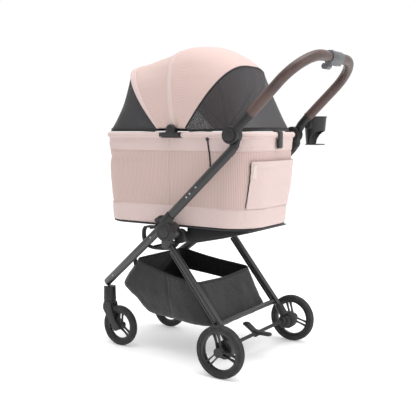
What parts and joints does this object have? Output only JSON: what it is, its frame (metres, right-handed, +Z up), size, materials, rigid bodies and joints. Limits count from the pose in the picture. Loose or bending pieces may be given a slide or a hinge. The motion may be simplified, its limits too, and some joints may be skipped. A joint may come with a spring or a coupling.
{
  "type": "pet stroller",
  "caption": "Folding pet stroller: lift-off carrier box with a folding canopy, mesh windows, sprung-button handle, castors, brake pedal, storage basket and cup holder.",
  "frame": {"origin": "middle of the bounding box, on the ground", "axes": "+Z up, +X to the stroller's left side, which is the narrow way across, -Y to the front"},
  "size_m": [0.6134, 0.8968, 1.1194],
  "materials": {
    "tube": "black anodised, satin",
    "plastic": "black, fine grain",
    "grey": "mid grey, satin",
    "tyre": "matt black foam rubber",
    "leather": "dark brown, smooth, stitched",
    "fabric": "pale pink knit and woven cloth",
    "dark_fabric": "black woven polyester",
    "mesh": "see-through dark mesh"
  },
  "bodies": {
    "chassis": {"front_leg_left": "tube", "front_leg_right": "tube", "castor_head_left": "plastic", "castor_head_right": "plastic", "carrier_cradle": "tube", "seat_tray": "dark_fabric", "storage_basket": "dark_fabric"},
    "rear_frame": {"rear_leg_left": "tube", "rear_leg_right": "tube", "rear_foot_left": "plastic", "rear_foot_right": "plastic", "rear_cross_tube": "tube"},
    "push_frame": {"push_hub_left": "plastic", "push_hub_right": "plastic", "push_tube_left": "tube", "push_tube_right": "tube", "hinge_base_left": "plastic", "hinge_base_right": "plastic"},
    "handle": {"handle_arm_left": "plastic", "handle_arm_right": "plastic", "handle_bar": "leather", "grip_housing": "grey"},
    "fold_button_slide": {"fold_button": "plastic"},
    "fold_trigger_lever": {"fold_trigger": "grey"},
    "fold_latch_left_slide": {"fold_latch_left": "plastic"},
    "fold_latch_right_slide": {"fold_latch_right": "plastic"},
    "hub_button_left_slide": {"hub_button_left": "plastic"},
    "hub_button_right_slide": {"hub_button_right": "plastic"},
    "hinge_button_left_slide": {"hinge_button_left": "plastic"},
    "hinge_button_right_slide": {"hinge_button_right": "plastic"},
    "cup": {"cup_holder": "plastic"},
    "castor_left": {"castor_fork_left": "plastic"},
    "castor_right": {"castor_fork_right": "plastic"},
    "swivel_lock_left_lever": {"swivel_lock_left": "plastic"},
    "swivel_lock_right_lever": {"swivel_lock_right": "plastic"},
    "front_wheel_left": {"front_wheel_left_tyre": "tyre", "front_wheel_left_rim": "plastic"},
    "front_wheel_right": {"front_wheel_right_tyre": "tyre", "front_wheel_right_rim": "plastic"},
    "rear_wheel_left": {"rear_wheel_left_tyre": "tyre", "rear_wheel_left_rim": "plastic"},
    "rear_wheel_right": {"rear_wheel_right_tyre": "tyre", "rear_wheel_right_rim": "plastic"},
    "brake": {"brake_pedal": "plastic"},
    "carrier": {"carrier_tub": "fabric", "carrier_base": "dark_fabric", "floor_mat": "dark_fabric", "carrier_rim": "fabric", "rear_pocket": "fabric", "canopy_bracket_left": "plastic", "canopy_bracket_right": "plastic", "canopy_bow_rear": "plastic", "canopy_rear_panel": "fabric", "rear_mesh": "mesh", "front_mesh": "mesh"},
    "canopy_middle": {"canopy_bow_middle": "plastic"},
    "canopy_front": {"canopy_bow_front": "plastic", "canopy_front_panel": "fabric"},
    "clip": {"rim_clip": "plastic"}
  },
  "joints": [
    {"name": "frame_fold", "type": "hinge", "parent": "chassis", "child": "push_frame", "pos_m": [0.02525, -0.0814, 0.473], "axis": [1, 0, 0], "range_deg": [0, 150]},
    {"name": "rear_leg_fold", "type": "hinge", "parent": "chassis", "child": "rear_frame", "pos_m": [0.02525, -0.0964, 0.425], "axis": [1, 0, 0], "range_deg": [-48, 0], "deforming": ["storage_basket"]},
    {"name": "handle_tilt", "type": "hinge", "parent": "push_frame", "child": "handle", "pos_m": [0.02525, 0.1726, 0.806], "axis": [1, 0, 0], "range_deg": [-45, 30]},
    {"name": "fold_button_slide", "type": "slide", "parent": "handle", "child": "fold_button_slide", "axis": [1, 0, 0], "range_m": [0, 0.005], "stiffness_N_per_m": 300},
    {"name": "fold_trigger_squeeze", "type": "hinge", "parent": "handle", "child": "fold_trigger_lever", "pos_m": [0.02525, 0.42158, 1.03439], "axis": [1, 0, 0], "range_deg": [-8, 0], "stiffness_Nm_per_rad": 0.6},
    {"name": "fold_latch_left_slide", "type": "slide", "parent": "push_frame", "child": "fold_latch_left_slide", "axis": [0, 0.7071, 0.7071], "range_m": [0, 0.006], "stiffness_N_per_m": 600},
    {"name": "hub_button_left_press", "type": "slide", "parent": "push_frame", "child": "hub_button_left_slide", "axis": [-1, 0, 0], "range_m": [0, 0.003], "stiffness_N_per_m": 500},
    {"name": "hinge_button_left_press", "type": "slide", "parent": "handle", "child": "hinge_button_left_slide", "axis": [-1, 0, 0], "range_m": [0, 0.003], "stiffness_N_per_m": 500},
    {"name": "castor_left_swivel", "type": "hinge", "parent": "chassis", "child": "castor_left", "pos_m": [0.18325, -0.4174, 0.172], "axis": [0, 0, 1], "continuous": true},
    {"name": "swivel_lock_left_tilt", "type": "hinge", "parent": "castor_left", "child": "swivel_lock_left_lever", "pos_m": [0.18325, -0.437, 0.135], "axis": [1, 0, 0], "range_deg": [0, 14]},
    {"name": "front_wheel_left_spin", "type": "hinge", "parent": "castor_left", "child": "front_wheel_left", "pos_m": [0.18325, -0.3659, 0.077], "axis": [1, 0, 0], "continuous": true},
    {"name": "rear_wheel_left_spin", "type": "hinge", "parent": "rear_frame", "child": "rear_wheel_left", "pos_m": [0.28875, 0.1556, 0.09], "axis": [1, 0, 0], "continuous": true},
    {"name": "fold_latch_right_slide", "type": "slide", "parent": "push_frame", "child": "fold_latch_right_slide", "axis": [0, 0.7071, 0.7071], "range_m": [0, 0.006], "stiffness_N_per_m": 600},
    {"name": "hub_button_right_press", "type": "slide", "parent": "push_frame", "child": "hub_button_right_slide", "axis": [1, 0, 0], "range_m": [0, 0.003], "stiffness_N_per_m": 500},
    {"name": "hinge_button_right_press", "type": "slide", "parent": "handle", "child": "hinge_button_right_slide", "axis": [1, 0, 0], "range_m": [0, 0.003], "stiffness_N_per_m": 500},
    {"name": "castor_right_swivel", "type": "hinge", "parent": "chassis", "child": "castor_right", "pos_m": [-0.13275, -0.4174, 0.172], "axis": [0, 0, 1], "continuous": true},
    {"name": "swivel_lock_right_tilt", "type": "hinge", "parent": "castor_right", "child": "swivel_lock_right_lever", "pos_m": [-0.13275, -0.437, 0.135], "axis": [1, 0, 0], "range_deg": [0, 14]},
    {"name": "front_wheel_right_spin", "type": "hinge", "parent": "castor_right", "child": "front_wheel_right", "pos_m": [-0.13275, -0.3659, 0.077], "axis": [1, 0, 0], "continuous": true},
    {"name": "rear_wheel_right_spin", "type": "hinge", "parent": "rear_frame", "child": "rear_wheel_right", "pos_m": [-0.23825, 0.1556, 0.09], "axis": [1, 0, 0], "continuous": true},
    {"name": "brake_rock", "type": "hinge", "parent": "rear_frame", "child": "brake", "pos_m": [0.02525, 0.1556, 0.096], "axis": [1, 0, 0], "range_deg": [-18, 0]},
    {"name": "cup_holder_lift", "type": "slide", "parent": "handle", "child": "cup", "axis": [0, 0, 1], "range_m": [0, 0.06]},
    {"name": "carrier_lift", "type": "slide", "parent": "chassis", "child": "carrier", "axis": [0, 0, 1], "range_m": [0, 0.2]},
    {"name": "canopy_middle_fold", "type": "hinge", "parent": "carrier", "child": "canopy_middle", "pos_m": [0.02525, -0.0914, 0.824], "axis": [1, 0, 0], "range_deg": [-33, 0], "deforming": ["canopy_rear_panel"]},
    {"name": "canopy_front_fold", "type": "hinge", "parent": "carrier", "child": "canopy_front", "pos_m": [0.02525, -0.0914, 0.824], "axis": [1, 0, 0], "range_deg": [-66, 0], "deforming": ["canopy_front_panel", "front_mesh"]},
    {"name": "rim_clip_release", "type": "hinge", "parent": "carrier", "child": "clip", "pos_m": [0.04025, 0.2186, 0.8195], "axis": [1, 0, 0], "range_deg": [0, 60]}
  ],
  "couplings": [
    {"joint": "rear_leg_fold", "follows": "frame_fold", "ratio": -0.32},
    {"joint": "canopy_middle_fold", "follows": "canopy_front_fold", "ratio": 0.5}
  ]
}
